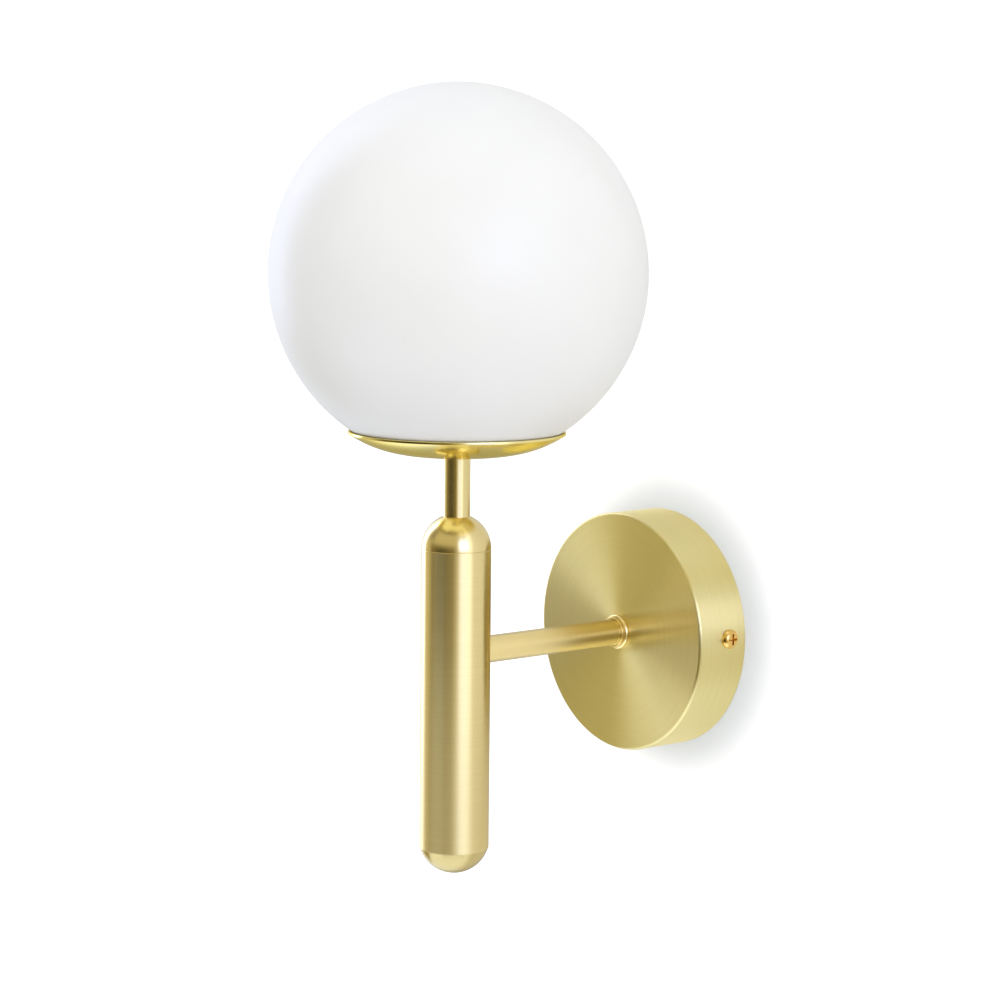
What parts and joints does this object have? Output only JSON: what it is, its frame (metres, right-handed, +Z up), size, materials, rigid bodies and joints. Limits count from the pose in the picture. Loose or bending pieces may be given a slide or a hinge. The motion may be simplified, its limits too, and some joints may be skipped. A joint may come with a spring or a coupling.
{
  "type": "wall sconce",
  "caption": "Wall light: a round plate and short arm carry an upright capsule body, and a stem and dish on it hold a lift-off opal glass globe over a pull-out two-pin bulb.",
  "frame": {"origin": "centre of the wall plate's back, on the wall", "axes": "+Z up, +Y into the wall, so the lamp stands out along -Y; +X to the right as seen from the room"},
  "size_m": [0.15, 0.1873, 0.3164],
  "materials": {
    "brushed_brass": "satin",
    "polished_brass": "polished",
    "screw_brass": "polished",
    "raw_brass": "satin",
    "zinc_steel": "satin",
    "tinned_copper": "gloss",
    "spring_steel": "satin",
    "opal_glass": "satin",
    "silicone": "matte",
    "lampholder_ceramic": "gloss",
    "bulb_white": "gloss",
    "bulb_ceramic": "matte",
    "chip_yellow": "satin",
    "bulb_clear": "gloss",
    "block_nylon": "satin",
    "bush_nylon": "satin",
    "live_insulation": "satin",
    "neutral_insulation": "satin",
    "earth_insulation": "satin"
  },
  "bodies": {
    "root": {"arm_bush": "bush_nylon", "arm_collar": "polished_brass", "arm_tube": "polished_brass", "body_hub": "raw_brass", "body_tube": "brushed_brass", "bottom_dome": "polished_brass", "centre_nipple": "raw_brass", "clip_plate": "spring_steel", "clip_rivets": "spring_steel", "contact_springs": "tinned_copper", "coupling_nut": "raw_brass", "dish_spacer": "raw_brass", "earth_lug": "tinned_copper", "earth_screw": "zinc_steel", "earth_washer": "zinc_steel", "earth_wire": "earth_insulation", "gallery_dish": "polished_brass", "globe_gasket": "silicone", "holder_screws": "zinc_steel", "holder_strap": "zinc_steel", "lampholder": "lampholder_ceramic", "leaf_clip_1": "spring_steel", "leaf_clip_2": "spring_steel", "leaf_clip_3": "spring_steel", "live_wire": "live_insulation", "neutral_wire": "neutral_insulation", "plate_nut": "raw_brass", "plate_washer": "zinc_steel", "side_screws": "screw_brass", "stem_bush": "bush_nylon", "stem_nut": "raw_brass", "stem_tube": "polished_brass", "stem_washer": "zinc_steel", "terminal_block": "block_nylon", "terminal_fixing_screw": "zinc_steel", "terminal_inserts": "raw_brass", "terminal_screws": "zinc_steel", "tie_rod": "zinc_steel", "top_dome": "polished_brass", "wall_bracket": "zinc_steel", "wall_plate": "brushed_brass"},
    "bulb": {"bulb_pins": "tinned_copper", "bulb_base": "bulb_white", "bulb_post": "bulb_ceramic", "bulb_chips": "chip_yellow", "bulb_cover": "bulb_clear"},
    "globe": {"globe_glass": "opal_glass"}
  },
  "joints": [
    {"name": "globe_lift", "type": "slide", "parent": "root", "child": "globe", "axis": [0, 0, 1], "range_m": [0, 0.1]},
    {"name": "bulb_pull", "type": "slide", "parent": "root", "child": "bulb", "axis": [0, 0, 1], "range_m": [0, 0.02]}
  ]
}
